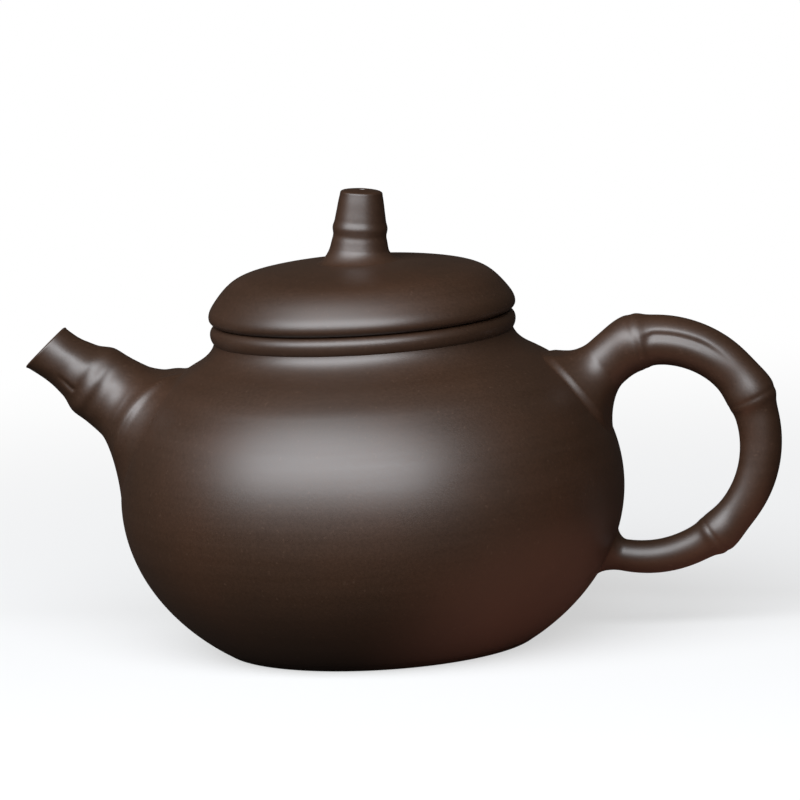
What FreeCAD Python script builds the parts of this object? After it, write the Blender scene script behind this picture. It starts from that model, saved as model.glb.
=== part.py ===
"""Squat round clay teapot with a bamboo-jointed spout, handle and knob.

Millimetres, +Z up. The origin is the centre of the foot on the table, on the pot's turning axis.
The spout points along -X and the handle along +X.
"""

import FreeCAD
import Part
import math
import os

V = FreeCAD.Vector
UP = V(0, 0, 1)
ORIGIN = V(0, 0, 0)

# Belly: an ellipse turned about Z, cut flat below and above
BELLY_RADIUS = 50.0
BELLY_HALF_HEIGHT = 38.5
BELLY_CENTRE_Z = 30.5
WALL = 3.0

# Heights of the luted joints, from the table up
FOOT_HEIGHT = 1.5
BASE_TOP_Z = 4.0
SHOULDER_Z = 55.0
RING_BOTTOM_Z = 61.8
SEAT_Z = 65.5

FOOT_INNER_RADIUS = 25.5
MOUTH_RADIUS = 25.0
BEAD_RADIUS = (SEAT_Z - RING_BOTTOM_Z) / 2
RING_OUTER_RADIUS = 30.3

# Shoulder: radii and heights above the belly's edge; it flattens, then turns up to the mouth ring
SHOULDER_STATIONS = [(36.5, 56.35), (34.0, 57.75), (31.7, 59.2), (30.5, 60.7), (30.0, RING_BOTTOM_Z)]
SHOULDER_UNDERSIDE_Z = 58.6

# Lid: a dome with a full shoulder and a rolled edge, and a collar that drops into the mouth.
# The stations are radii and heights above the widest part, up to the flat under the knob.
LID_EDGE_ROLL = 1.8
LID_STATIONS = [
    (30.4, 0.0),
    (30.2, 1.4),
    (29.45, 2.8),
    (28.3, 4.1),
    (26.9, 5.25),
    (24.4, 6.6),
    (20.4, 7.85),
    (14.5, 8.75),
    (8.0, 9.2),
]
LID_RADIUS = LID_STATIONS[0][0]
KNOB_SEAT_RADIUS = LID_STATIONS[-1][0]
LID_EDGE_Z = SEAT_Z + LID_EDGE_ROLL
LID_TOP_Z = LID_EDGE_Z + LID_STATIONS[-1][1]
LID_HOLLOW_RADIUS = 21.5
LID_HOLLOW_RISE = 7.8
FLANGE_CLEARANCE = 0.3
FLANGE_RADIUS = MOUTH_RADIUS - FLANGE_CLEARANCE
FLANGE_THICKNESS = 2.4
FLANGE_DEPTH = 8.0
FLANGE_TAPER = 0.4

# Knob: heights above the dome's flat seat and radii, with the bamboo joint between 5.2 and 7.9
KNOB_STATIONS = [
    (-1.2, 8.6),
    (-0.3, 7.8),
    (0.5, 7.0),
    (1.5, 6.25),
    (2.9, 5.72),
    (4.2, 5.45),
    (5.2, 5.22),
    (5.9, 5.36),
    (6.6, 5.5),
    (7.3, 5.36),
    (7.9, 5.12),
    (8.6, 5.05),
    (10.1, 4.68),
    (11.9, 4.25),
    (13.2, 3.95),
    (13.8, 3.6),
    (14.2, 2.7),
    (14.4, 1.3),
]
KNOB_LEAN_DEG = 4.4
VENT_RADIUS = 0.9

# Spout: distance from the belly along the spout's axis and radius, with the joint near 12
SPOUT_ROOT = V(-44.7, 0, 47.8)
SPOUT_RISE_DEG = 36.7
SPOUT_STATIONS = [
    (-5.5, 14.7),
    (-3.2, 13.3),
    (-1.6, 12.0),
    (-0.2, 10.8),
    (1.2, 9.7),
    (2.8, 8.8),
    (4.8, 8.3),
    (6.8, 8.16),
    (8.8, 7.93),
    (10.4, 7.5),
    (11.0, 7.45),
    (11.6, 7.55),
    (12.3, 7.5),
    (13.0, 7.28),
    (14.4, 6.87),
    (16.0, 6.65),
    (18.0, 6.15),
    (20.0, 5.75),
    (23.0, 5.5),
    (27.0, 5.45),
]
SPOUT_LENGTH = 24.0
SPOUT_LIP_TILT_DEG = 10.8
SPOUT_BORE_TIP_RADIUS = 3.8
SPOUT_BORE_ROOT_RADIUS = 5.6
SPOUT_WALL_HOLE_RADIUS = 6.0

# Strainer: a pierced half ball over the spout's hole, inside the belly
STRAINER_RADIUS = 8.6
STRAINER_THICKNESS = 1.6
STRAINER_HOLE_RADIUS = 0.9
STRAINER_RINGS = [(0.0, 1), (24.0, 6), (47.0, 11)]

# Handle: centre line in the XZ plane from the shoulder round to the lower belly
HANDLE_ROUTE = [
    (36.5, 44.7),
    (44.2, 51.0),
    (53.8, 57.6),
    (64.3, 57.0),
    (72.1, 51.9),
    (77.3, 40.4),
    (75.2, 28.0),
    (67.3, 19.1),
    (56.1, 15.0),
    (46.0, 16.4),
    (38.0, 20.3),
]
HANDLE_THICK_RADIUS = 5.8
HANDLE_THIN_RADIUS = 3.2
HANDLE_JOINTS = [(53.8, 57.6), (75.8, 46.5), (67.9, 19.5)]
HANDLE_JOINT_RISE = 0.85
HANDLE_JOINT_WIDTH = 2.6
HANDLE_ROOT_FLARE = 6.0
HANDLE_ROOT_START = 7.5
HANDLE_ROOT_REACH = 3.0
HANDLE_TAIL_FLARE = 1.8
HANDLE_TAIL_START = 7.5
HANDLE_TAIL_REACH = 2.2
HANDLE_STEP = 2.0


def ellipse_radius(radius, half_height, centre_z, z):
    """Radius of an upright ellipse at height z."""
    return radius * math.sqrt(1 - ((z - centre_z) / half_height) ** 2)


def ellipse_arc(radius, half_height, centre_z, low_z, high_z):
    """The stretch of that ellipse between two heights, on the +X side of the XZ plane."""
    ellipse = Part.Ellipse(
        V(radius, 0, centre_z), V(0, 0, centre_z + half_height), V(0, 0, centre_z)
    )
    low = math.asin(max(-1.0, min(1.0, (low_z - centre_z) / half_height)))
    high = math.asin(max(-1.0, min(1.0, (high_z - centre_z) / half_height)))
    return Part.ArcOfEllipse(ellipse, low, high).toBSpline().toShape()


def line(start, end):
    """A straight edge in the XZ plane between two (radius, height) points."""
    return Part.makeLine(V(start[0], 0, start[1]), V(end[0], 0, end[1]))


def arc(start, through, end):
    """A round edge in the XZ plane through three (radius, height) points."""
    points = [V(p[0], 0, p[1]) for p in (start, through, end)]
    return Part.Arc(*points).toShape()


def smooth_edge(points):
    """A smooth edge in the XZ plane through (radius, height) points."""
    spline = Part.BSplineCurve()
    spline.interpolate([V(r, 0, z) for r, z in points])
    return spline.toShape()


def turned(edges, foot=ORIGIN, way=UP):
    """Solid of the closed outline turned about the line from foot along way."""
    wire = Part.Wire(Part.sortEdges(edges)[0])
    solid = Part.Face(wire).revolve(foot, way, 360)
    if solid.Volume < 0:
        solid.reverse()
    return solid


def stem(stations, foot, way):
    """Solid turned about a line from foot along way, its outline a smooth curve through stations."""
    side = V(0, 1, 0)
    points = [foot + way * s + side * r for s, r in stations]
    outline = Part.BSplineCurve()
    outline.interpolate(points)
    first, last = foot + way * stations[0][0], foot + way * stations[-1][0]
    edges = [
        outline.toShape(),
        Part.makeLine(points[-1], last),
        Part.makeLine(last, first),
        Part.makeLine(first, points[0]),
    ]
    return turned(edges, foot, way)


def lofted(stations):
    """Smooth solid through circles given as (centre, direction, radius)."""
    rings = [Part.Wire(Part.Circle(c, d, r).toShape()) for c, d, r in stations]
    return Part.makeLoft(rings, True, False)


def belly_radius(z):
    return ellipse_radius(BELLY_RADIUS, BELLY_HALF_HEIGHT, BELLY_CENTRE_Z, z)


def belly_arc(low_z, high_z):
    return ellipse_arc(BELLY_RADIUS, BELLY_HALF_HEIGHT, BELLY_CENTRE_Z, low_z, high_z)


def chamber_radius(z):
    return ellipse_radius(BELLY_RADIUS - WALL, BELLY_HALF_HEIGHT - WALL, BELLY_CENTRE_Z, z)


def ellipsoid(radius, half_height):
    """The whole egg of the belly or of its hollow."""
    low, high = BELLY_CENTRE_Z - half_height, BELLY_CENTRE_Z + half_height
    outline = ellipse_arc(radius, half_height, BELLY_CENTRE_Z, low, high)
    return turned([outline, line((0, high), (0, low))])


def spout_axis():
    rise = math.radians(SPOUT_RISE_DEG)
    return V(-math.cos(rise), 0, math.sin(rise))


def make_body_wall():
    """The belly: a beaten shell of even thickness, pierced for the spout."""
    inner_low, inner_high = chamber_radius(BASE_TOP_Z), chamber_radius(SHOULDER_Z)
    outer_low, outer_high = belly_radius(BASE_TOP_Z), belly_radius(SHOULDER_Z)
    hollow = BELLY_RADIUS - WALL, BELLY_HALF_HEIGHT - WALL, BELLY_CENTRE_Z
    shell = turned(
        [
            belly_arc(BASE_TOP_Z, SHOULDER_Z),
            line((outer_high, SHOULDER_Z), (inner_high, SHOULDER_Z)),
            ellipse_arc(*hollow, BASE_TOP_Z, SHOULDER_Z),
            line((inner_low, BASE_TOP_Z), (outer_low, BASE_TOP_Z)),
        ]
    )
    axis = spout_axis()
    reach = 4 * WALL
    hole = Part.makeCylinder(SPOUT_WALL_HOLE_RADIUS, 2 * reach, SPOUT_ROOT - axis * reach, axis)
    return shell.cut(hole)


def make_base_disc():
    """The floor slab, luted under the belly's lower edge."""
    low, high = belly_radius(FOOT_HEIGHT), belly_radius(BASE_TOP_Z)
    edges = [
        belly_arc(FOOT_HEIGHT, BASE_TOP_Z),
        line((high, BASE_TOP_Z), (0, BASE_TOP_Z)),
        line((0, BASE_TOP_Z), (0, FOOT_HEIGHT)),
        line((0, FOOT_HEIGHT), (low, FOOT_HEIGHT)),
    ]
    return turned(edges)


def make_foot_ring():
    """Low ring that the pot stands on, flush with the belly outside."""
    low, high = belly_radius(0), belly_radius(FOOT_HEIGHT)
    edges = [
        belly_arc(0, FOOT_HEIGHT),
        line((high, FOOT_HEIGHT), (FOOT_INNER_RADIUS, FOOT_HEIGHT)),
        line((FOOT_INNER_RADIUS, FOOT_HEIGHT), (FOOT_INNER_RADIUS, 0)),
        line((FOOT_INNER_RADIUS, 0), (low, 0)),
    ]
    return turned(edges)


def make_shoulder_disc():
    """Disc that closes the shoulder round the mouth: flattened, then turned up, hollow below."""
    outer, inner = belly_radius(SHOULDER_Z), chamber_radius(SHOULDER_Z)
    neck = SHOULDER_STATIONS[-1]
    edges = [
        smooth_edge([(outer, SHOULDER_Z)] + SHOULDER_STATIONS),
        line(neck, (MOUTH_RADIUS, RING_BOTTOM_Z)),
        line((MOUTH_RADIUS, RING_BOTTOM_Z), (MOUTH_RADIUS, SHOULDER_UNDERSIDE_Z)),
        line((MOUTH_RADIUS, SHOULDER_UNDERSIDE_Z), (inner, SHOULDER_Z)),
        line((inner, SHOULDER_Z), (outer, SHOULDER_Z)),
    ]
    return turned(edges)


def make_mouth_ring():
    """Rounded bead round the mouth, with a flat seat on top for the lid."""
    bead_centre = RING_OUTER_RADIUS - BEAD_RADIUS
    middle_z = (RING_BOTTOM_Z + SEAT_Z) / 2
    edges = [
        line((MOUTH_RADIUS, RING_BOTTOM_Z), (bead_centre, RING_BOTTOM_Z)),
        arc((bead_centre, RING_BOTTOM_Z), (RING_OUTER_RADIUS, middle_z), (bead_centre, SEAT_Z)),
        line((bead_centre, SEAT_Z), (MOUTH_RADIUS, SEAT_Z)),
        line((MOUTH_RADIUS, SEAT_Z), (MOUTH_RADIUS, RING_BOTTOM_Z)),
    ]
    return turned(edges)


def spout_point(distance):
    return SPOUT_ROOT + spout_axis() * distance


def make_spout(belly):
    """Bamboo spout: flared root, one joint, straight tip cut with the lower lip forward."""
    axis = spout_axis()
    body = stem(SPOUT_STATIONS, SPOUT_ROOT, axis)
    tip = spout_point(SPOUT_LENGTH)
    start, end = SPOUT_STATIONS[0][0], SPOUT_STATIONS[-1][0]
    bore = Part.makeCone(
        SPOUT_BORE_ROOT_RADIUS, SPOUT_BORE_TIP_RADIUS, end - start, spout_point(start), axis
    )
    turn = FreeCAD.Rotation(V(0, 1, 0), SPOUT_LIP_TILT_DEG)
    beyond_tip = Part.makeCylinder(2 * SPOUT_STATIONS[-1][1], SPOUT_LENGTH, tip, turn.multVec(axis))
    return body.cut(bore).cut(beyond_tip).cut(belly)


def strainer_directions(axis):
    """Outward directions of the strainer's holes: rings about the spout's axis."""
    inward = axis * -1
    across = V(0, 1, 0)
    for angle, count in STRAINER_RINGS:
        tilted = FreeCAD.Rotation(across, angle).multVec(inward)
        for k in range(count):
            yield FreeCAD.Rotation(inward, 360.0 * k / count).multVec(tilted)


def make_strainer(chamber):
    """Half ball pierced with holes, standing into the chamber over the spout's hole."""
    axis = spout_axis()
    centre = SPOUT_ROOT - axis * WALL
    ball = Part.makeSphere(STRAINER_RADIUS, centre)
    hollow = Part.makeSphere(STRAINER_RADIUS - STRAINER_THICKNESS, centre)
    dome = ball.cut(hollow).common(chamber)
    start = STRAINER_RADIUS - 2 * STRAINER_THICKNESS
    holes = [
        Part.makeCylinder(STRAINER_HOLE_RADIUS, STRAINER_RADIUS, centre + way * start, way)
        for way in strainer_directions(axis)
    ]
    return dome.cut(holes)


def handle_curve():
    curve = Part.BSplineCurve()
    curve.interpolate([V(x, 0, z) for x, z in HANDLE_ROUTE])
    return curve


def handle_radius(s, length, joints):
    """Taper, a swelling at each joint, and a flare at both roots."""
    radius = HANDLE_THICK_RADIUS + (HANDLE_THIN_RADIUS - HANDLE_THICK_RADIUS) * s / length
    for joint in joints:
        radius += HANDLE_JOINT_RISE * math.exp(-(((s - joint) / HANDLE_JOINT_WIDTH) ** 2))
    past_root = max(0.0, s - HANDLE_ROOT_START)
    past_tail = max(0.0, length - s - HANDLE_TAIL_START)
    radius += HANDLE_ROOT_FLARE * math.exp(-past_root / HANDLE_ROOT_REACH)
    radius += HANDLE_TAIL_FLARE * math.exp(-past_tail / HANDLE_TAIL_REACH)
    return radius


def make_handle(belly):
    """Bamboo handle: one rolled bar, bent to a loop, with joints shaped on it."""
    curve = handle_curve()
    length = curve.length()
    start = curve.FirstParameter
    joints = [curve.length(start, curve.parameter(V(x, 0, z))) for x, z in HANDLE_JOINTS]
    count = int(length / HANDLE_STEP)
    stations = []
    for k in range(count + 1):
        s = length * k / count
        where = curve.parameterAtDistance(s, start)
        tangent = curve.tangent(where)[0]
        stations.append((curve.value(where), tangent, handle_radius(s, length, joints)))
    return lofted(stations).cut(belly)


def make_lid_plate():
    """Dome with a rolled edge and a hollow underside, flat where the knob and collar are luted."""
    under_edge = LID_RADIUS - LID_EDGE_ROLL
    bend = LID_EDGE_ROLL * math.sqrt(0.5)
    hollow_top_z = SEAT_Z + LID_HOLLOW_RISE
    vent = Part.makeCylinder(VENT_RADIUS, LID_RADIUS, V(0, 0, SEAT_Z), UP)
    edges = [
        smooth_edge([(r, LID_EDGE_Z + height) for r, height in LID_STATIONS]),
        line((KNOB_SEAT_RADIUS, LID_TOP_Z), (0, LID_TOP_Z)),
        line((0, LID_TOP_Z), (0, hollow_top_z)),
        ellipse_arc(LID_HOLLOW_RADIUS, LID_HOLLOW_RISE, SEAT_Z, SEAT_Z, hollow_top_z),
        line((LID_HOLLOW_RADIUS, SEAT_Z), (under_edge, SEAT_Z)),
        arc((under_edge, SEAT_Z), (under_edge + bend, LID_EDGE_Z - bend), (LID_RADIUS, LID_EDGE_Z)),
    ]
    return turned(edges).cut(vent)


def make_lid_flange():
    """Collar under the lid that centres it in the mouth."""
    low_z = SEAT_Z - FLANGE_DEPTH
    inner = FLANGE_RADIUS - FLANGE_THICKNESS
    edges = [
        line((FLANGE_RADIUS, SEAT_Z), (FLANGE_RADIUS - FLANGE_TAPER, low_z)),
        line((FLANGE_RADIUS - FLANGE_TAPER, low_z), (inner, low_z)),
        line((inner, low_z), (inner, SEAT_Z)),
        line((inner, SEAT_Z), (FLANGE_RADIUS, SEAT_Z)),
    ]
    return turned(edges)


def make_knob():
    """Short bamboo stem with one joint, leaning a little, with the vent through it."""
    seat = V(0, 0, LID_TOP_Z)
    way = FreeCAD.Rotation(V(0, 1, 0), KNOB_LEAN_DEG).multVec(UP)
    whole = stem(KNOB_STATIONS, seat, way)
    below = Part.makeCylinder(LID_RADIUS, WALL, seat - UP * WALL, UP)
    reach = 2 * KNOB_STATIONS[-1][0]
    vent = Part.makeCylinder(VENT_RADIUS, 2 * reach, seat - way * reach, way)
    return whole.cut(below).cut(vent)


def main():
    belly = ellipsoid(BELLY_RADIUS, BELLY_HALF_HEIGHT)
    chamber = ellipsoid(BELLY_RADIUS - WALL, BELLY_HALF_HEIGHT - WALL)
    pieces = {
        "body_wall": make_body_wall(),
        "base_disc": make_base_disc(),
        "foot_ring": make_foot_ring(),
        "shoulder_disc": make_shoulder_disc(),
        "mouth_ring": make_mouth_ring(),
        "spout": make_spout(belly),
        "strainer": make_strainer(chamber),
        "handle": make_handle(belly),
        "lid_plate": make_lid_plate(),
        "lid_flange": make_lid_flange(),
        "knob": make_knob(),
    }
    os.makedirs("parts", exist_ok=True)
    for name, shape in pieces.items():
        solids = shape.Solids
        print(name, len(solids), "solid", round(shape.Volume, 1), "mm3", shape.isValid())
        shape.exportStep(f"parts/{name}.step")


main()
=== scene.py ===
import bmesh
import bpy
import numpy as np
from mathutils import Matrix, Vector


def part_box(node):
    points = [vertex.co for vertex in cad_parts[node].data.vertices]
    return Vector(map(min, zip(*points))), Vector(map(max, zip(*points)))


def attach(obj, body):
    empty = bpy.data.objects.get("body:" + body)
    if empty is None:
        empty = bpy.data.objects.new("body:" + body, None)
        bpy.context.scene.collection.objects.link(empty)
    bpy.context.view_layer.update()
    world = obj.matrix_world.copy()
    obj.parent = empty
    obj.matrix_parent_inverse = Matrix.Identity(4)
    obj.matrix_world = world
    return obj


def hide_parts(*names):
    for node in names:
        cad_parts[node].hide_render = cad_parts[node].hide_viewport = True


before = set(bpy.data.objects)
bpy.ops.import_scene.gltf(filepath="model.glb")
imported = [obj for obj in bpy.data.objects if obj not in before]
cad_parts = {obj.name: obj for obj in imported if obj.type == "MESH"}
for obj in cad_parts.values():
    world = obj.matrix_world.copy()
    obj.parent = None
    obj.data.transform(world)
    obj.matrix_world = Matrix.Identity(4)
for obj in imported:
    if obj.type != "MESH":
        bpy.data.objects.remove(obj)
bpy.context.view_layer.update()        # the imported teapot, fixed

mm = 0.001               # shapes below are worked out in millimetres


# lowest and highest corner of a CAD node, in millimetres
def nodeBox(node):
    low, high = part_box(node)
    return np.array(low) / mm, np.array(high) / mm


# 0 below a, 1 above b, and a smooth S between
def ease(a, b, x):
    t = np.clip((x - a) / (b - a), 0.0, 1.0)
    return t * t * (3 - 2 * t)


# a bell of height 1 at centre
def bell(x, centre, width):
    return np.exp(-((x - centre) / width) ** 2)


# natural cubic spline through the points by chord length, spread evenly along its own length
def smoothLine(points, count):
    p = np.asarray(points, float)
    t = np.concatenate([[0.0], np.cumsum(np.linalg.norm(np.diff(p, axis=0), axis=1))])
    h = np.diff(t)
    inner = np.arange(1, len(p) - 1)
    system = np.eye(len(p))
    system[inner, inner - 1] = h[:-1]
    system[inner, inner] = 2 * (h[:-1] + h[1:])
    system[inner, inner + 1] = h[1:]
    bend = np.zeros_like(p)
    bend[1:-1] = 6 * np.diff(np.diff(p, axis=0) / h[:, None], axis=0)
    bend = np.linalg.solve(system, bend)
    fine = np.linspace(0, t[-1], 60 * len(p))     # close enough to measure the length along
    k = np.clip(np.searchsorted(t, fine) - 1, 0, len(p) - 2)
    after = (fine - t[k])[:, None]
    before = (t[k + 1] - fine)[:, None]
    step = h[k][:, None]
    curve = (bend[k] * before ** 3 + bend[k + 1] * after ** 3) / (6 * step)
    curve += (p[k] / step - bend[k] * step / 6) * before
    curve += (p[k + 1] / step - bend[k + 1] * step / 6) * after
    gone = np.concatenate([[0.0], np.cumsum(np.linalg.norm(np.diff(curve, axis=0), axis=1))])
    even = np.linspace(0, gone[-1], count)
    return np.stack([np.interp(even, gone, axis) for axis in curve.T], -1)


# every corner of a closed outline replaced by a parabola that starts and ends a given way from it
def softOutline(corners, soft, steps=7):
    p = np.asarray(corners, float)
    soft = np.broadcast_to(np.asarray(soft, float), len(p))[:, None]
    back = np.roll(p, 1, 0) - p
    ahead = np.roll(p, -1, 0) - p
    backLength = np.linalg.norm(back, axis=1, keepdims=True)
    aheadLength = np.linalg.norm(ahead, axis=1, keepdims=True)
    most = 0.48                             # a corner takes less than half of each side
    start = p + back / backLength * np.minimum(soft, most * backLength)
    end = p + ahead / aheadLength * np.minimum(soft, most * aheadLength)
    t = np.linspace(0, 1, steps)[None, :, None]
    curve = (1 - t) ** 2 * start[:, None] + 2 * t * (1 - t) * p[:, None] + t ** 2 * end[:, None]
    return curve.reshape(-1, 2)


# stretch of an upright ellipse between two heights: radius = a * sqrt(1 - ((z - c) / b)^2)
def ellipseArc(a, b, c, lowZ, highZ, count):
    low, high = np.arcsin(np.clip((np.array([lowZ, highZ]) - c) / b, -1, 1))
    angle = np.linspace(low, high, count)
    return np.stack([a * np.cos(angle), c + b * np.sin(angle)], -1)


# parabola from start to end that leaves and lands along the lines to lead
def parabola(start, lead, end, count):
    t = np.linspace(0, 1, count)[:, None]
    return (1 - t) ** 2 * np.array(start) + 2 * t * (1 - t) * np.array(lead) + t ** 2 * np.array(end)


# where the line from p along u meets the line from q along v
def crossing(p, u, q, v):
    p, u, q, v = (np.array(part) for part in (p, u, q, v))
    square = np.array([-v[1], v[0]])
    return p + u * ((q - p) @ square) / (u @ square)


# round arc about (r, z) between two angles in degrees
def roundArc(r, z, radius, fromDeg, toDeg, count):
    angle = np.radians(np.linspace(fromDeg, toDeg, count))
    return np.stack([r + radius * np.cos(angle), z + radius * np.sin(angle)], -1)


# way inwards and up at a slope in degrees: (-cos, sin)
def upSlope(deg):
    return [-np.cos(np.radians(deg)), np.sin(np.radians(deg))]


# angles once round, without repeating the first
def aroundAngles(count):
    return np.arange(count) * 2 * np.pi / count


# outline of (radius, height) points turned about Z: (r cos a, r sin a, z)
def turned(outline, around):
    angle = aroundAngles(around)[None, :]
    r, z = outline[:, :1], outline[:, 1:]
    return np.stack([r * np.cos(angle), r * np.sin(angle), z + 0 * angle], -1)


meshing = {
    "mergeWithin": 2e-7,                    # metres
    "shortestEdge": 1e-8,
    "sharpDeg": 38,                         # edges that turn more than this stay sharp
}


# grid of points to a closed mesh: columns wrap round, rows wrap if asked, poles and seams are merged;
# pierce takes faces away and moves the rims, which are then bridged
def makePiece(name, grid, body, nodes, finish, wrapRows=True, pierce=None):
    rows, around = grid.shape[:2]
    index = np.arange(rows * around).reshape(rows, around)
    lower = index if wrapRows else index[:-1]
    upper = np.roll(index, -1, 0) if wrapRows else index[1:]
    quads = np.stack([lower, np.roll(lower, -1, 1), np.roll(upper, -1, 1), upper], -1).reshape(-1, 4)
    points = grid.reshape(-1, 3)
    if pierce:
        points, quads = pierce(points, quads)
    mesh = bpy.data.meshes.new(name)
    mesh.from_pydata((points * mm).tolist(), [], quads.tolist())
    work = bmesh.new()
    work.from_mesh(mesh)
    if pierce:
        bmesh.ops.bridge_loops(work, edges=[edge for edge in work.edges if edge.is_boundary])
        bmesh.ops.delete(work, geom=[vert for vert in work.verts if not vert.link_faces], context="VERTS")
    bmesh.ops.remove_doubles(work, verts=work.verts, dist=meshing["mergeWithin"])
    bmesh.ops.dissolve_degenerate(work, edges=work.edges, dist=meshing["shortestEdge"])
    bmesh.ops.recalc_face_normals(work, faces=work.faces)
    work.to_mesh(mesh)
    work.free()
    mesh.polygons.foreach_set("use_smooth", np.ones(len(mesh.polygons), bool))
    mesh.set_sharp_from_angle(angle=np.radians(meshing["sharpDeg"]))
    mesh.materials.append(finish)
    piece = bpy.data.objects.new(name, mesh)
    bpy.context.scene.collection.objects.link(piece)
    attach(piece, body)
    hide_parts(*nodes)
    print("piece", name, len(mesh.polygons), "faces")


# finishes

clay = {
    "deep": (0.0345, 0.0149, 0.0064, 1),    # the hollows of the mottling
    "middle": (0.0390, 0.0166, 0.0070, 1),
    "warm": (0.0455, 0.0184, 0.0076, 1),    # red-brown patches
    "stops": (0.33, 0.5, 0.70),             # where these three lie in the mottling
    "pale": (0.075, 0.039, 0.023, 1),       # sparse sand grains
    "paleFrom": (0.70, 0.78),               # they begin and are full at these noise values
    "paleShare": 0.55,
    "mottle": (46, 4, 0.55),                # noise scale, detail and roughness
    "sand": (1900, 2, 0.6),
    "grains": (1150, 1, 0.4),
    "marks": (1.0, 3, 0.6),
    "markStretch": (14, 14, 340),           # the burnishing tool leaves long thin bands round the axis
    "marksInColour": 0.3,
    "marksInBump": 0.4,
    "spread": (0.3, 0.7),                   # noise values taken as the lowest and highest
    "shade": (0.82, 1.18),
    "bumpDepth": 0.00012,
    "specular": 1.0,
}


# one unglazed clay: slow mottling, fine sand, sparse pale grains, burnishing marks round the pot
def clayFinish(name, roughness, burnish, grainBump):
    finish = bpy.data.materials.new(name)
    finish.use_nodes = True
    tree = finish.node_tree
    nodes, links = tree.nodes, tree.links
    shader = nodes["Principled BSDF"]
    place = nodes.new("ShaderNodeTexCoord")

    def noise(values, source=place.outputs["Object"]):
        node = nodes.new("ShaderNodeTexNoise")
        for socket, value in zip(("Scale", "Detail", "Roughness"), values):
            node.inputs[socket].default_value = value
        links.new(source, node.inputs["Vector"])
        return node.outputs["Fac"]

    def mapRange(value, spread, result):
        node = nodes.new("ShaderNodeMapRange")
        node.inputs["From Min"].default_value, node.inputs["From Max"].default_value = spread
        node.inputs["To Min"].default_value, node.inputs["To Max"].default_value = result
        links.new(value, node.inputs["Value"])
        return node.outputs["Result"]

    def math(kind, a, b):
        node = nodes.new("ShaderNodeMath")
        node.operation = kind
        for socket, value in zip(node.inputs, (a, b)):
            if isinstance(value, (int, float)):
                socket.default_value = value
            else:
                links.new(value, socket)
        return node.outputs[0]

    # a share of b and the rest of a
    def mixed(a, b, share):
        return math("ADD", math("MULTIPLY", a, 1 - share), math("MULTIPLY", b, share))

    def blend(kind, fac, a, b):
        node = nodes.new("ShaderNodeMix")
        node.data_type = "RGBA"
        node.blend_type = kind
        for socket, value in zip((node.inputs[0], node.inputs[6], node.inputs[7]), (fac, a, b)):
            if hasattr(value, "is_output"):
                links.new(value, socket)
            else:
                socket.default_value = value
        return node.outputs[2]

    stretch = nodes.new("ShaderNodeMapping")
    stretch.inputs["Scale"].default_value = clay["markStretch"]
    links.new(place.outputs["Object"], stretch.inputs["Vector"])
    marks = noise(clay["marks"], stretch.outputs["Vector"])
    mottle, sand, grains = noise(clay["mottle"]), noise(clay["sand"]), noise(clay["grains"])

    ramp = nodes.new("ShaderNodeValToRGB")
    stops = ramp.color_ramp.elements
    stops[0].position, middle, stops[1].position = clay["stops"]
    stops[0].color, stops[1].color = clay["deep"], clay["warm"]
    stops.new(middle).color = clay["middle"]
    links.new(mottle, ramp.inputs["Fac"])
    shade = mapRange(mixed(sand, marks, clay["marksInColour"]), clay["spread"], clay["shade"])
    grey = nodes.new("ShaderNodeCombineColor")
    for socket in grey.inputs[:3]:
        links.new(shade, socket)
    colour = blend("MULTIPLY", 1.0, ramp.outputs["Color"], grey.outputs["Color"])
    colour = blend("MIX", mapRange(grains, clay["paleFrom"], (0, clay["paleShare"])), colour, clay["pale"])
    links.new(colour, shader.inputs["Base Color"])

    gloss = mapRange(mixed(sand, marks, burnish), clay["spread"], roughness)
    links.new(gloss, shader.inputs["Roughness"])
    shader.inputs["Specular IOR Level"].default_value = clay["specular"]

    bump = nodes.new("ShaderNodeBump")
    bump.inputs["Strength"].default_value = grainBump
    bump.inputs["Distance"].default_value = clay["bumpDepth"]
    links.new(mixed(sand, marks, clay["marksInBump"]), bump.inputs["Height"])
    links.new(bump.outputs["Normal"], shader.inputs["Normal"])
    return finish


burnishedClay = clayFinish("burnishedClay", roughness=(0.41, 0.49), burnish=0.6, grainBump=0.10)
bareClay = clayFinish("bareClay", roughness=(0.62, 0.74), burnish=0.1, grainBump=0.35)
print("finishes made")


# pot

belly = {
    "radius": nodeBox("body_wall")[1][1],
    "halfHeight": 38.5,
    "centreZ": 30.5,
    "wall": 3.0,
    "rows": 96,
    "around": 256,
}
footHeight = nodeBox("foot_ring")[1][2]
baseTop = nodeBox("base_disc")[1][2]
shoulderZ = nodeBox("shoulder_disc")[0][2]
ringBottom = nodeBox("mouth_ring")[0][2]
seatZ = nodeBox("mouth_ring")[1][2]
bellyEgg = (belly["radius"], belly["halfHeight"], belly["centreZ"])
hollowEgg = (belly["radius"] - belly["wall"], belly["halfHeight"] - belly["wall"], belly["centreZ"])

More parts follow.
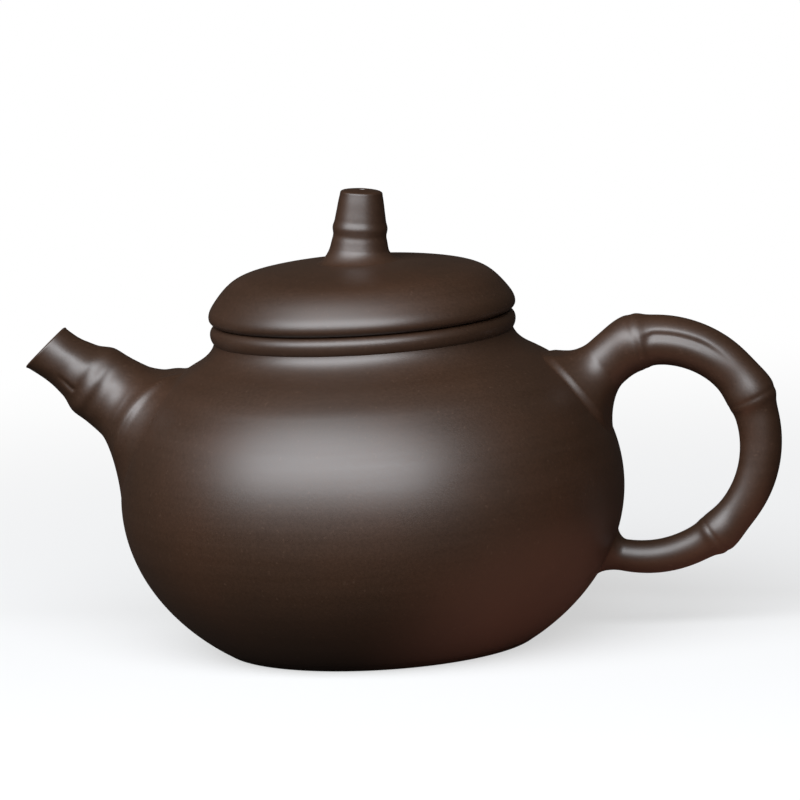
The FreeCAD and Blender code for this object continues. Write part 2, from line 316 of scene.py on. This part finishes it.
spout = {
    "root": np.array([-44.7, 0, 47.8]),     # where its axis leaves the belly
    "riseDeg": 36.7,
    "length": 24.0,
    "lipTiltDeg": 10.8,                     # the lower lip is forward
    "tiltOver": 7.0,                        # it comes forward over this length
    "nearSide": [(4.8, 8.13), (5.8, 8.16), (6.8, 8.15), (7.8, 8.03), (8.7, 7.76), (9.3, 7.55), (9.9, 7.43),
                 (10.4, 7.43), (10.9, 7.47), (11.3, 7.45), (11.9, 7.27), (12.5, 7.0), (13.1, 6.83),
                 (13.7, 6.78), (14.3, 6.8), (14.9, 6.74), (15.6, 6.57), (16.4, 6.33), (17.4, 6.05),
                 (18.5, 5.87), (20.0, 5.72), (22.0, 5.55), (24.6, 5.42)],     # distance along, radius
    "outline": [(4.8, 8.1), (7.2, 7.85), (9.5, 7.65), (11.3, 7.6), (12.4, 7.45), (13.6, 6.95), (15.1, 6.2),
                (16.6, 5.8), (18.5, 5.42), (20.2, 5.28), (22.7, 5.33), (24.6, 5.42)],     # above and below
    "blend": (0.35, 0.95),                  # one passes into the other as the skin faces up or down
    "filletStart": 4.8,
    "foot": {"below": 18.0, "front": 17.5, "top": 13.5},     # how far the root runs out on the belly
    "pulls": (0.55, 0.9),
    "swell": (8.2, 1.7),                    # near and far sides widen from here to the root, by this much
    "step": {"at": 0.38, "slide": 0.6, "widths": (1.8, 0.7), "rise": 0.5},
    "lip": {"back": 0.8, "soft": (0.8, 0.7), "steps": 9},
    "boreTip": 3.8,
    "boreRoot": 5.5,
    "boreStart": 0.2,                       # behind the lip
    "boreEnd": -2.4,
    "holeRadius": 6.0,
    "holeReach": 12.0,                      # along the axis, so that the far wall stays whole
    "bud": {"from": 13.6, "to": 19.5, "fade": (0.9, 4.0), "angleDeg": 66, "depth": 0.4, "width": 0.6},
    "lineRows": 400,
    "rows": 150,
    "boreRows": 30,
    "around": 192,
}
rise = np.radians(spout["riseDeg"])
spoutWay = np.array([-np.cos(rise), 0, np.sin(rise)])
spoutDown = np.array([-np.sin(rise), 0, -np.cos(rise)])
front = np.array([0, -1.0, 0])


# where lines from the points along way leave an upright egg, and the egg's outward normals there
def leaveEgg(points, way, egg):
    a, b, c = egg
    scale = np.array([1 / a, 1 / a, 1 / b])
    p = (points - np.array([0, 0, c])) * scale
    d = way * scale
    half = p @ d
    far = (-half + np.sqrt(half ** 2 - (d @ d) * ((p * p).sum(-1) - 1))) / (d @ d)
    hit = points + far[..., None] * way
    normal = (hit - np.array([0, 0, c])) * scale ** 2
    return hit, normal / np.linalg.norm(normal, axis=-1, keepdims=True)


# points moved up or down onto a turned crown line of (radius, height) where they lie over it, and the
# normals there: square to the crown line
def ontoCrown(land, normal, crown, below=2.0):
    line = crown[np.argsort(crown[:, 0])]
    reach = np.hypot(land[:, 0], land[:, 1])
    over = ((reach < line[-1, 0]) & (land[:, 2] > line[-1, 1] - below))[:, None]
    slope = np.interp(reach, line[:, 0], np.gradient(line[:, 1], line[:, 0]))
    square = np.stack([-slope * land[:, 0] / reach, -slope * land[:, 1] / reach, 1 + 0 * reach], -1)
    square /= np.linalg.norm(square, axis=1, keepdims=True)
    height = np.interp(reach, line[:, 0], line[:, 1])
    moved = np.stack([land[:, 0], land[:, 1], height], -1)
    return np.where(over, moved, land), np.where(over, square, normal)


rootStep = {
    "fadeIn": (0.1, 0.55),                  # it grows between these shares of facing sideways
    "shorterBelow": 0.35,                   # and ends sooner below
    "plain": 0.2,                           # share of the way down from the tube over which it begins
}


# rows that carry a tube's first ring down onto the clay below: Hermite curves that leave along the tube's
# own skin and land along the skin of the egg or its crown, a little below it; on the way a low ridge, where
# the tube was luted on, rises by one bell and falls by a narrower one. pulls say how strongly the curves
# leave and land; step says where on the way the ridge lies, how far it slides out where the skin doesn't
# face sideways, the widths of its two bells and its rise
def rootRows(tube, side, root, way, footRadius, egg, crown, pulls, step=None, count=56, sunk=0.06):
    foot = np.broadcast_to(footRadius, len(side))[:, None]
    land, normal = ontoCrown(*leaveEgg(root + foot * side, way, egg), crown)
    land = land - sunk * normal
    leave = tube[0] - tube[1]
    leave /= np.linalg.norm(leave, axis=-1, keepdims=True)
    skin = side - (side * normal).sum(-1, keepdims=True) * normal
    skin /= np.linalg.norm(skin, axis=-1, keepdims=True)
    gap = np.linalg.norm(land - tube[0], axis=-1, keepdims=True)
    t = np.linspace(1, 0, count)[:-1, None, None]
    rows = (2 * t ** 3 - 3 * t ** 2 + 1) * tube[0] + (t ** 3 - 2 * t ** 2 + t) * gap * pulls[0] * leave
    rows = rows + (3 * t ** 2 - 2 * t ** 3) * land + (t ** 3 - t ** 2) * gap * pulls[1] * skin
    if step:
        near = np.abs(side @ front)[:, None]
        off = (t - step["at"] - step["slide"] * (1 - near)) * gap
        swell = bell(off, 0, np.where(off < 0, *step["widths"]))
        shorter = np.where(side[:, 2:] < 0, rootStep["shorterBelow"], 0.0)
        low, high = rootStep["fadeIn"]
        share = ease(low + shorter, high + shorter, near) * ease(0, rootStep["plain"], t)
        rows = rows + step["rise"] * share * swell * normal
    return rows


shoulder = {
    "startZ": 51.5,                         # the belly's ellipse ends here
    "flat": (34.0, 57.35, 28),              # radius, height and slope in degrees where it is flattest
    "top": (29.6, ringBottom + 0.2, 80),    # in the mouth ring's bead
    "undersideZ": 58.6,
    "tuck": (27.5, 0.1),                    # the slab's upper end, inside the mouth ring
    "endRows": 400,                         # fine enough to give the ellipse's slope at its end
    "rows": 40,
}


# shoulder: two parabolas, from the belly's ellipse to the flattest place and from there up to the ring
def shoulderCurve():
    *flat, flatDeg = shoulder["flat"]
    *top, topDeg = shoulder["top"]
    flatWay, topWay = upSlope(flatDeg), upSlope(topDeg)
    before, start = ellipseArc(*bellyEgg, baseTop, shoulder["startZ"], shoulder["endRows"])[-2:]
    low = parabola(start, crossing(start, start - before, flat, flatWay), flat, shoulder["rows"])
    high = parabola(flat, crossing(flat, flatWay, top, topWay), top, shoulder["rows"])
    return np.concatenate([low, high[1:]])


# belly: outer and inner ellipse joined by flat ends, with the lower part of the shoulder's curve
crown = shoulderCurve()
lowCrown = crown[:, 1] < shoulderZ
crownCut = np.array([[np.interp(shoulderZ, crown[:, 1], crown[:, 0]), shoulderZ]])
outerBelly = ellipseArc(*bellyEgg, baseTop, shoulder["startZ"], belly["rows"])
outerCurve = np.concatenate([outerBelly, crown[lowCrown][1:], crownCut])
innerCurve = ellipseArc(*hollowEgg, baseTop, shoulderZ, len(outerCurve))[::-1]
bellyGrid = turned(np.concatenate([outerCurve, innerCurve]), belly["around"])


# the spout's hole: the faces inside it go, and the two rims are moved to the hole's round wall
def pierceBelly(points, quads):
    away = points[quads].mean(1) - spout["root"]
    along = away @ spoutWay
    across = np.linalg.norm(away - along[:, None] * spoutWay, axis=1)
    gone = (np.abs(along) < spout["holeReach"]) & (across < spout["holeRadius"])
    rim = np.intersect1d(quads[gone], quads[~gone])
    away = points[rim] - spout["root"]
    along = (away @ spoutWay)[:, None] * spoutWay
    across = away - along
    across *= spout["holeRadius"] / np.linalg.norm(across, axis=1, keepdims=True)
    points = points.copy()
    points[rim] = spout["root"] + along + across
    return points, quads[~gone]


makePiece("bellyShell", bellyGrid, "pot", ["body_wall"], burnishedClay,
          pierce=pierceBelly)

# floor slab: its edge carries on the belly's ellipse
floorSlab = {"edgeRows": 12}
slabEdge = ellipseArc(*bellyEgg, footHeight, baseTop, floorSlab["edgeRows"])
slab = np.concatenate([[[0, footHeight]], slabEdge, [[0, baseTop]]])
makePiece("floorSlab", turned(slab, belly["around"]), "pot", ["base_disc"], burnishedClay)

# foot: a low ring, its outside on the belly's ellipse, its standing edges softened
foot = {"inner": 25.5, "innerSoft": 0.4, "outerSoft": 0.5}
footLow, footHigh = ellipseArc(*bellyEgg, 0.0, footHeight, 2)
footCorners = [(foot["inner"], footHeight), (foot["inner"], 0), footLow, footHigh]
footLine = softOutline(footCorners, [0, foot["innerSoft"], foot["outerSoft"], 0])
makePiece("footRing", turned(footLine, belly["around"]), "pot", ["foot_ring"], bareClay)

# shoulder slab: the upper part of the shoulder's curve, hollow below, with the mouth cut in it
mouth = {
    "radius": 25.0,
    "soft": (0.45, 0.05),                   # its upper and lower edge
    "droop": 0.27,                          # share by which the bead's lower half is longer
    "beadRows": 25,
    "edgeSteps": 7,
}
tuckRadius, tuckRise = shoulder["tuck"]
slabUnder = [(tuckRadius, ringBottom + tuckRise), (mouth["radius"], ringBottom),
             (mouth["radius"], shoulder["undersideZ"]), innerCurve[0]]
slabLine = np.concatenate([crownCut, crown[~lowCrown], slabUnder])
makePiece("shoulderSlab", turned(slabLine, belly["around"]), "pot", ["shoulder_disc"],
          burnishedClay)

# mouth ring: a half-round bead outside, longer below, a flat seat on top, softened at the mouth
beadRadius = (seatZ - ringBottom) / 2
beadCentre = nodeBox("mouth_ring")[1][0] - beadRadius
bead = roundArc(0, 0, beadRadius, -90, 90, mouth["beadRows"])
bead[:, 1] = np.where(bead[:, 1] < 0, bead[:, 1] * (1 + mouth["droop"]), bead[:, 1])
bead += [beadCentre, ringBottom + beadRadius]
mouthCorners = [(mouth["radius"], seatZ), (mouth["radius"], ringBottom), (beadCentre, ringBottom),
                (beadCentre, seatZ)]
mouthLip = softOutline(mouthCorners, [*mouth["soft"], 0, 0], mouth["edgeSteps"])[:2 * mouth["edgeSteps"]]
ringLine = np.concatenate([bead, mouthLip])
makePiece("mouthRing", turned(ringLine, belly["around"]), "pot", ["mouth_ring"],
          burnishedClay)


# spout: radius passes from one line above and below into another on the near and far sides, with a bud
# groove low on the near side; the tip leans so that the lower lip is forward, and the lip rolls into a
# tapered bore
def spoutGrid():
    end, bore, lip, bud = spout["length"], spout["boreTip"], spout["lip"], spout["bud"]
    along = np.linspace(spout["filletStart"], end - lip["back"], spout["rows"])
    nearSide = np.interp(along, *smoothLine(spout["nearSide"], spout["lineRows"]).T)
    outline = np.interp(along, *smoothLine(spout["outline"], spout["lineRows"]).T)
    back, tip, steps = along[-1], nearSide[-1], lip["steps"]
    lipCorners = [(back, tip), (end, tip), (end, bore), (back, bore)]
    lipLine = softOutline(lipCorners, [0, *lip["soft"], 0], steps)[steps:3 * steps]
    boreAlong = np.linspace(back - spout["boreStart"], spout["boreEnd"], spout["boreRows"])
    boreRadius = np.interp(boreAlong, [spout["boreEnd"], end], [spout["boreRoot"], bore])
    line = np.concatenate([np.stack([along, nearSide], -1), lipLine, np.stack([boreAlong, boreRadius], -1)])
    angle = aroundAngles(spout["around"])[None, :]
    s, r = line[:, :1], line[:, 1:] + 0 * angle
    r[:len(along)] += (outline - nearSide)[:, None] * ease(*spout["blend"], np.abs(np.cos(angle)))
    outside = (np.arange(len(line)) < len(along))[:, None]
    turn = (angle - np.radians(bud["angleDeg"]) + np.pi) % (2 * np.pi) - np.pi
    fadeIn, fadeOut = bud["fade"]
    window = ease(bud["from"], bud["from"] + fadeIn, s) * (1 - ease(bud["to"] - fadeOut, bud["to"], s))
    r = r - outside * bud["depth"] * window * bell(turn * r, 0, bud["width"])
    swellFrom, swell = spout["swell"]
    widening = np.clip((swellFrom - s) / (swellFrom - spout["filletStart"]), 0, 1) ** 2
    r = r + outside * swell * widening * np.sin(angle) ** 2
    lean = np.tan(np.radians(spout["lipTiltDeg"])) * r * np.cos(angle)
    lean = lean * ease(end - spout["tiltOver"], end, s)
    side = np.cos(angle)[..., None] * spoutDown + np.sin(angle)[..., None] * front
    points = spout["root"] + (s + lean)[..., None] * spoutWay + r[..., None] * side
    foot, down = spout["foot"], np.cos(angle[0])
    lobe = np.where(down > 0, foot["below"], foot["top"]) - foot["front"]
    reach = foot["front"] + lobe * down ** 2
    rows = rootRows(points, side[0], spout["root"], spoutWay, reach, bellyEgg, crown, spout["pulls"],
                    spout["step"])
    return np.concatenate([rows, points])


makePiece("bambooSpout", spoutGrid(), "pot", ["spout"], burnishedClay)

handle = {
    "route": [(36.5, 44.7), (44.2, 51.0), (53.8, 57.6), (64.3, 57.0), (72.1, 51.9), (77.3, 40.4),
              (75.2, 28.0), (67.3, 19.1), (56.1, 15.0), (46.0, 16.4), (38.0, 20.3)],     # x, z
    "thick": 5.6,
    "thin": 2.85,
    "joints": [(53.8, 57.6), (75.8, 46.5), (67.9, 19.5)],
    "jointRise": 0.9,
    "jointWidth": (3.4, 2.2),               # the swelling before a joint is long, the step after it shorter
    "scar": (0.5, 0.13, 0.5),               # offset, depth and width of the fine line at each joint
    "ridge": (1.6, 0.14, 0.8),              # offset, rise and width of the narrow ring after it
    "innerCalm": 0.65,                      # how much of the joints is lost on the inside of the loop
    "groove": {"joint": 0, "from": 1.4, "to": 21, "fade": (2.5, 9.0), "depth": 0.48, "width": (0.7, 1.5),
               "turns": [(0, 84), (4, 70), (13, 70), (18, 74)]},     # distance past the joint, degrees
    "upperFoot": {"out": 12.0, "front": 10.6},
    "upperPulls": (0.9, 0.7),
    "upperStep": {"at": 0.75, "slide": 0, "widths": (4.0, 1.0), "rise": 0.8},
    "lowerFoot": 5.2,
    "lowerPulls": (1.0, 0.8),
    "upperFillet": 6.2,                     # length of the root's hollow curve along the bar
    "lowerFillet": 3.0,
    "capDepth": 2.0,                        # its ends close this deep in the wall
    "routeRows": 2400,
    "rows": 420,
    "around": 96,
}


# handle: a round bar along its route; the radius tapers and swells by a bell at each joint, with a fine line
# and a narrow ring, less on the inside of the loop, and a groove with one wide flank runs along the near
# side after the first joint
def handleGrid():
    route = smoothLine([(x, 0, z) for x, z in handle["route"]], handle["routeRows"])
    gone = np.concatenate([[0.0], np.cumsum(np.linalg.norm(np.diff(route, axis=0), axis=1))])
    a, b, c = bellyEgg
    outside = np.flatnonzero((route[:, 0] / a) ** 2 + ((route[:, 2] - c) / b) ** 2 >= 1)
    upper, lower = gone[outside[0]], gone[outside[-1]]

    def onRoute(at):
        return np.stack([np.interp(at, gone, axis) for axis in route.T], -1)

    s = np.linspace(upper + handle["upperFillet"], lower - handle["lowerFillet"], handle["rows"])
    spine, upperRoot, lowerRoot = onRoute(s), onRoute(upper), onRoute(lower)
    way = np.stack([np.interp(s, gone, np.gradient(axis, gone)) for axis in route.T], -1)
    way /= np.linalg.norm(way, axis=1, keepdims=True)
    taper = np.interp(s, [0, gone[-1]], [handle["thick"], handle["thin"]])
    joints = [gone[np.argmin(np.hypot(route[:, 0] - x, route[:, 2] - z))] for x, z in handle["joints"]]
    before, after = handle["jointWidth"]
    scarOffset, scarDepth, scarWidth = handle["scar"]
    ridgeOffset, ridgeRise, ridgeWidth = handle["ridge"]
    swelling = 0 * s
    for joint in joints:
        swelling += handle["jointRise"] * bell(s, joint, np.where(s < joint, before, after))
        swelling += ridgeRise * bell(s, joint + ridgeOffset, ridgeWidth)
        swelling -= scarDepth * bell(s, joint + scarOffset, scarWidth)
    angle = aroundAngles(handle["around"])[None, :]
    inside = (0.5 - 0.5 * np.cos(angle)) ** 2
    out = np.stack([-way[:, 2], 0 * s, way[:, 0]], -1)
    side = np.cos(angle)[..., None] * out[:, None] + np.sin(angle)[..., None] * front
    groove = handle["groove"]
    past = (s - joints[groove["joint"]])[:, None]
    fadeIn, fadeOut = groove["fade"]
    window = ease(groove["from"], groove["from"] + fadeIn, past)
    window = window * (1 - ease(groove["to"] - fadeOut, groove["to"], past))
    centre = np.radians(np.interp(past, *np.array(groove["turns"]).T))
    r = taper[:, None] + swelling[:, None] * (1 - handle["innerCalm"] * inside)
    off = ((angle - centre + np.pi) % (2 * np.pi) - np.pi) * r
    r = r - groove["depth"] * window * bell(off, 0, np.where(off < 0, *groove["width"]))
    points = spine[:, None] + r[..., None] * side
    foot = handle["upperFoot"]
    reach = foot["front"] + (foot["out"] - foot["front"]) * np.cos(angle[0]) ** 2
    top = rootRows(points, side[0], upperRoot, way[0], reach, bellyEgg, crown, handle["upperPulls"],
                   handle["upperStep"])
    tail = rootRows(points[::-1], side[-1], lowerRoot, -way[-1], handle["lowerFoot"], bellyEgg, crown,
                    handle["lowerPulls"])[::-1]
    capShape, deep = (1, handle["around"], 3), handle["capDepth"]
    startCap = np.broadcast_to(upperRoot - deep * way[0], capShape)
    endCap = np.broadcast_to(lowerRoot + deep * way[-1], capShape)
    return np.concatenate([startCap, top, points, tail, endCap])


makePiece("bambooHandle", handleGrid(), "pot", ["handle"], burnishedClay, wrapRows=False)
print("pot made")


# lid

lid = {
    "edgeRise": 1.8,                        # from the seat to the height that the stations count from
    "roll": {"centre": (28.6, -0.4), "size": (1.8, 1.4), "toDeg": -18, "rows": 16},
    "stations": [(30.35, -0.75), (30.4, -0.4), (30.31, 0.37), (30.07, 1.01), (29.6, 1.82), (29.1, 2.52),
                 (28.0, 3.9), (26.7, 5.25), (25.0, 6.5), (20.8, 7.9), (14.5, 8.8), (8.0, 9.2),
                 (4.0, 9.35), (0.9, 9.4)],     # radius, height
    "hollow": (21.5, 7.8),                  # radius and rise of the underside
    "vent": 0.9,
    "domeRows": 150,
    "hollowRows": 50,
    "around": 256,
}
lidRadius = nodeBox("lid_plate")[1][0]
lidEdgeZ = seatZ + lid["edgeRise"]

# lid: a smooth line over a rolled edge, flat where it sits, hollow under the dome, vent on the axis
roll = lid["roll"]
edgeRoll = roundArc(0, 0, 1, -90, roll["toDeg"], roll["rows"]) * roll["size"] + roll["centre"]
dome = smoothLine(lid["stations"], lid["domeRows"]) + [0, lidEdgeZ]
hollowRadius, hollowRise = lid["hollow"]
ventLow = seatZ + hollowRise * np.sqrt(1 - (lid["vent"] / hollowRadius) ** 2)
hollow = ellipseArc(hollowRadius, hollowRise, seatZ, seatZ, ventLow, lid["hollowRows"])
lidLine = np.concatenate([edgeRoll + [0, lidEdgeZ], dome, hollow[::-1]])
makePiece("lidDome", turned(lidLine, lid["around"]), "lid", ["lid_plate"], burnishedClay)

# collar: slightly tapered ring under the lid, its lower edge softened
collar = {"thick": 2.4, "taper": 0.4, "soft": 0.7}
collarLow, collarRadius = nodeBox("lid_flange")[0][2], nodeBox("lid_flange")[1][0]
collarInner, collarTip = collarRadius - collar["thick"], collarRadius - collar["taper"]
collarCorners = [(collarRadius, seatZ), (collarInner, seatZ), (collarInner, collarLow),
                 (collarTip, collarLow)]
collarLine = softOutline(collarCorners, [0, 0, collar["soft"], collar["soft"]])
makePiece("lidCollar", turned(collarLine, lid["around"]), "lid", ["lid_flange"], bareClay)

knob = {
    "stations": [(2.6, 5.8), (3.4, 5.62), (4.2, 5.45), (5.2, 5.27), (5.9, 5.36), (6.6, 5.44), (7.3, 5.3),
                 (7.9, 5.12), (8.6, 5.0), (10.1, 4.76), (11.9, 4.48), (13.1, 4.25)],
    "height": 14.4,
    "top": {"drop": 0.45, "draw": 0.12, "soft": (0.9, 0.5), "steps": 9},     # edge, then the vent's rim
    "shaft": (-0.8, -15.4),                 # the vent's wall starts and ends here, from the top
    "shaftRows": 20,
    "leanDeg": 5.6,
    "footRadius": 8.6,
    "pulls": (0.9, 0.9),
    "sunk": 0.04,
    "edgeRows": 30,                         # rows of the dome's line, at its edge, that the foot never meets
    "lineRows": 300,
    "around": 112,
}


# knob: stations turned about a leaning axis, its foot run out on the dome, its top rounded into the vent
def knobGrid():
    lean = np.radians(knob["leanDeg"])
    way = np.array([np.sin(lean), 0, np.cos(lean)])
    across = np.array([np.cos(lean), 0, -np.sin(lean)])
    seat = np.array([0, 0, nodeBox("lid_plate")[1][2]])
    curve = smoothLine(knob["stations"], knob["lineRows"])
    edge, vent, high, rim = curve[-1, 1], lid["vent"], knob["height"], knob["top"]
    shaftAlong = high + np.linspace(*knob["shaft"], knob["shaftRows"])
    topCorners = [curve[-1], (high - rim["drop"], edge - rim["draw"]), (high, vent), (shaftAlong[-1], vent)]
    topLine = softOutline(topCorners, [0, *rim["soft"], 0], rim["steps"])[rim["steps"]:3 * rim["steps"]]
    shaft = np.stack([shaftAlong, np.full(len(shaftAlong), vent)], -1)
    line = np.concatenate([curve, topLine, shaft])
    angle = aroundAngles(knob["around"])
    side = np.cos(angle)[:, None] * across + np.sin(angle)[:, None] * front
    points = seat + line[:, None, :1] * way + line[:, None, 1:] * side
    egg = (lidRadius, dome[-1, 1] - lidEdgeZ, lidEdgeZ)
    rows = rootRows(points, side, seat, way, knob["footRadius"], egg, dome[knob["edgeRows"]:], knob["pulls"],
                    sunk=knob["sunk"])
    return np.concatenate([rows, points])


makePiece("bambooKnob", knobGrid(), "lid", ["knob"], burnishedClay)

# the pierced strainer keeps its CAD shape
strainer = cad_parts["strainer"]
strainer.data.materials.clear()
strainer.data.materials.append(bareClay)
print("lid made")


# camera, light and floor

view = {
    "target": np.array([0, 0, 40.0]),
    "targetPx": np.array([370.0, 443.0]),   # where the target falls in the picture
    "imagePx": 800,
    "azimuthDeg": 7.0,                      # the handle is turned a little towards the camera
    "focalPx": 6048,
    "distance": 1200.0,
    "elevationDeg": 9.0,
    "rollDeg": 3.5,
    "sensor": 36.0,
    "clip": (0.05, 20),
}


# unit vector towards an azimuth (0 is the pot's near side, positive to the right) and an elevation
def towards(azimuthDeg, elevationDeg):
    a, e = np.radians([azimuthDeg, elevationDeg])
    return np.array([np.sin(a) * np.cos(e), -np.cos(a) * np.cos(e), np.sin(e)])


# camera on the line from the target, rolled, and turned so that the target falls where it should
def makeCamera():
    back = towards(view["azimuthDeg"], view["elevationDeg"])
    right = towards(view["azimuthDeg"] + 90, 0)
    up = np.cross(back, right)
    roll = np.radians(view["rollDeg"])
    right, up = np.cos(roll) * right - np.sin(roll) * up, np.sin(roll) * right + np.cos(roll) * up
    eye = view["target"] + view["distance"] * back
    middle = (view["imagePx"] / 2 - view["targetPx"]) / view["focalPx"] * view["distance"]
    aim = view["target"] + middle[0] * right - middle[1] * up
    back = (eye - aim) / np.linalg.norm(eye - aim)
    right = np.cross(up, back)
    right /= np.linalg.norm(right)
    up = np.cross(back, right)
    data = bpy.data.cameras.new("camera")
    data.sensor_width = view["sensor"]
    data.lens = view["focalPx"] * view["sensor"] / view["imagePx"]
    data.clip_start, data.clip_end = view["clip"]
    camera = bpy.data.objects.new("camera", data)
    turn = Matrix(np.stack([right, up, back], 1).tolist()).to_4x4()
    camera.matrix_world = Matrix.Translation(Vector(eye * mm)) @ turn
    bpy.context.scene.collection.objects.link(camera)
    bpy.context.scene.camera = camera


makeCamera()

softbox = {
    "azimuthDeg": -15,
    "elevationDeg": 40.5,
    "distance": 0.9,
    "aim": (0, 0, 0.04),
    "size": (1.6, 0.6),
    "watts": 18.7,
    "colour": (0.965, 1.0, 1.045),          # a little cool
}


def makeSoftbox():
    data = bpy.data.lights.new("keySoftbox", "AREA")
    data.shape = "RECTANGLE"
    data.size, data.size_y = softbox["size"]
    data.energy = softbox["watts"]
    data.color = softbox["colour"]
    lamp = bpy.data.objects.new("keySoftbox", data)
    way = Vector(towards(softbox["azimuthDeg"], softbox["elevationDeg"]))
    lamp.location = Vector(softbox["aim"]) + way * softbox["distance"]
    lamp.rotation_euler = way.to_track_quat("Z", "Y").to_euler()
    bpy.context.scene.collection.objects.link(lamp)


makeSoftbox()

backdrop = {
    "ambient": (1.0, 0.85, 0.62, 1),
    "ambientStrength": 0.02,
    "white": (1, 1, 1, 1),
    "glossShare": 0.01,                     # dull clay in a dim studio mirrors only a little of the white
}


# 1 for rays that show the background, 0 for rays that light the pot
def backgroundRay(tree):
    path = tree.nodes.new("ShaderNodeLightPath")
    gloss = tree.nodes.new("ShaderNodeMath")
    gloss.operation = "MULTIPLY"
    gloss.inputs[1].default_value = backdrop["glossShare"]
    tree.links.new(path.outputs["Is Glossy Ray"], gloss.inputs[0])
    seen = tree.nodes.new("ShaderNodeMath")
    seen.operation = "MAXIMUM"
    tree.links.new(path.outputs["Is Camera Ray"], seen.inputs[0])
    tree.links.new(path.outputs["Is Transmission Ray"], seen.inputs[1])
    either = tree.nodes.new("ShaderNodeMath")
    either.operation = "MAXIMUM"
    tree.links.new(gloss.outputs[0], either.inputs[0])
    tree.links.new(seen.outputs[0], either.inputs[1])
    return either.outputs[0]


# dim warm light all round, white where the background shows
def makeWorld():
    world = bpy.data.worlds.new("studio")
    bpy.context.scene.world = world
    world.use_nodes = True
    tree = world.node_tree
    dim = tree.nodes["Background"]
    dim.inputs["Color"].default_value = backdrop["ambient"]
    dim.inputs["Strength"].default_value = backdrop["ambientStrength"]
    white = tree.nodes.new("ShaderNodeBackground")
    white.inputs["Color"].default_value = backdrop["white"]
    white.inputs["Strength"].default_value = 1.0
    mix = tree.nodes.new("ShaderNodeMixShader")
    tree.links.new(backgroundRay(tree), mix.inputs[0])
    tree.links.new(dim.outputs[0], mix.inputs[1])
    tree.links.new(white.outputs[0], mix.inputs[2])
    tree.links.new(mix.outputs[0], tree.nodes["World Output"].inputs["Surface"])


makeWorld()

floor = {
    "half": 3.0,
    "gap": 0.00002,                         # a hair below the foot, so that the two don't share a plane
    "paintedPool": (0.36, 0.15, 0.10, 1),         # the board's warm colour, brightened near the pot into a painted pool of light that lights it from below
    "beyond": (0.032, 0.018, 0.011, 1),     # the board's own dark warm colour, farther away
    # centre and edge of the painted pool of light on the board
    "paintedPoolCentre": (0.062, -0.012, 0.0),
    "paintedPoolEdge": (0.035, 0.07),
    "paper": (0.9, 0.9, 0.9, 1),            # what the picture shows
    "whiteShare": (0.6, 1.0),               # near the pot, where its shadow falls, and far away
    "fade": (0.10, 0.42),
}


# floor: pale and partly white where the picture shows it, fading to white; to the pot it is a dark warm board
# with a painted pool of light close to it
def makeFloor():
    half = floor["half"]
    mesh = bpy.data.meshes.new("floor")
    low = -floor["gap"]
    corners = [(-half, -half, low), (half, -half, low), (half, half, low), (-half, half, low)]
    mesh.from_pydata(corners, [], [(0, 1, 2, 3)])
    finish = bpy.data.materials.new("paleFloor")
    finish.use_nodes = True
    tree = finish.node_tree
    tree.nodes.remove(tree.nodes["Principled BSDF"])
    shown = backgroundRay(tree)
    colour = tree.nodes.new("ShaderNodeMix")
    colour.data_type = "RGBA"
    colour.inputs[7].default_value = floor["paper"]
    tree.links.new(shown, colour.inputs[0])
    paint = tree.nodes.new("ShaderNodeBsdfDiffuse")
    tree.links.new(colour.outputs[2], paint.inputs["Color"])
    white = tree.nodes.new("ShaderNodeEmission")
    place = tree.nodes.new("ShaderNodeTexCoord")
    # the board's colour: a painted pool of light near the pot, fading into the dark board farther away
    paintedPoolOnBoard = tree.nodes.new("ShaderNodeMix")
    paintedPoolOnBoard.data_type = "RGBA"
    paintedPoolOnBoard.inputs[6].default_value = floor["paintedPool"]
    paintedPoolOnBoard.inputs[7].default_value = floor["beyond"]
    tree.links.new(paintedPoolOnBoard.outputs[2], colour.inputs[6])
    offPaintedPool = tree.nodes.new("ShaderNodeVectorMath")
    offPaintedPool.operation = "DISTANCE"
    offPaintedPool.inputs[1].default_value = floor["paintedPoolCentre"]
    tree.links.new(place.outputs["Object"], offPaintedPool.inputs[0])
    edge = tree.nodes.new("ShaderNodeMapRange")
    edge.interpolation_type = "SMOOTHSTEP"
    edge.inputs["From Min"].default_value, edge.inputs["From Max"].default_value = floor["paintedPoolEdge"]
    tree.links.new(offPaintedPool.outputs["Value"], edge.inputs["Value"])
    tree.links.new(edge.outputs["Result"], paintedPoolOnBoard.inputs[0])
    away = tree.nodes.new("ShaderNodeVectorMath")
    away.operation = "LENGTH"
    tree.links.new(place.outputs["Object"], away.inputs[0])
    fade = tree.nodes.new("ShaderNodeMapRange")
    fade.interpolation_type = "SMOOTHSTEP"
    fade.inputs["From Min"].default_value, fade.inputs["From Max"].default_value = floor["fade"]
    fade.inputs["To Min"].default_value, fade.inputs["To Max"].default_value = floor["whiteShare"]
    tree.links.new(away.outputs["Value"], fade.inputs["Value"])
    share = tree.nodes.new("ShaderNodeMath")
    share.operation = "MULTIPLY"
    tree.links.new(shown, share.inputs[0])
    tree.links.new(fade.outputs["Result"], share.inputs[1])
    mix = tree.nodes.new("ShaderNodeMixShader")
    tree.links.new(share.outputs[0], mix.inputs[0])
    tree.links.new(paint.outputs[0], mix.inputs[1])
    tree.links.new(white.outputs[0], mix.inputs[2])
    tree.links.new(mix.outputs[0], tree.nodes["Material Output"].inputs["Surface"])
    mesh.materials.append(finish)
    ground = bpy.data.objects.new("floor", mesh)
    bpy.context.scene.collection.objects.link(ground)


makeFloor()
bpy.context.scene.view_settings.view_transform = "Standard"
print("camera, light and floor made")
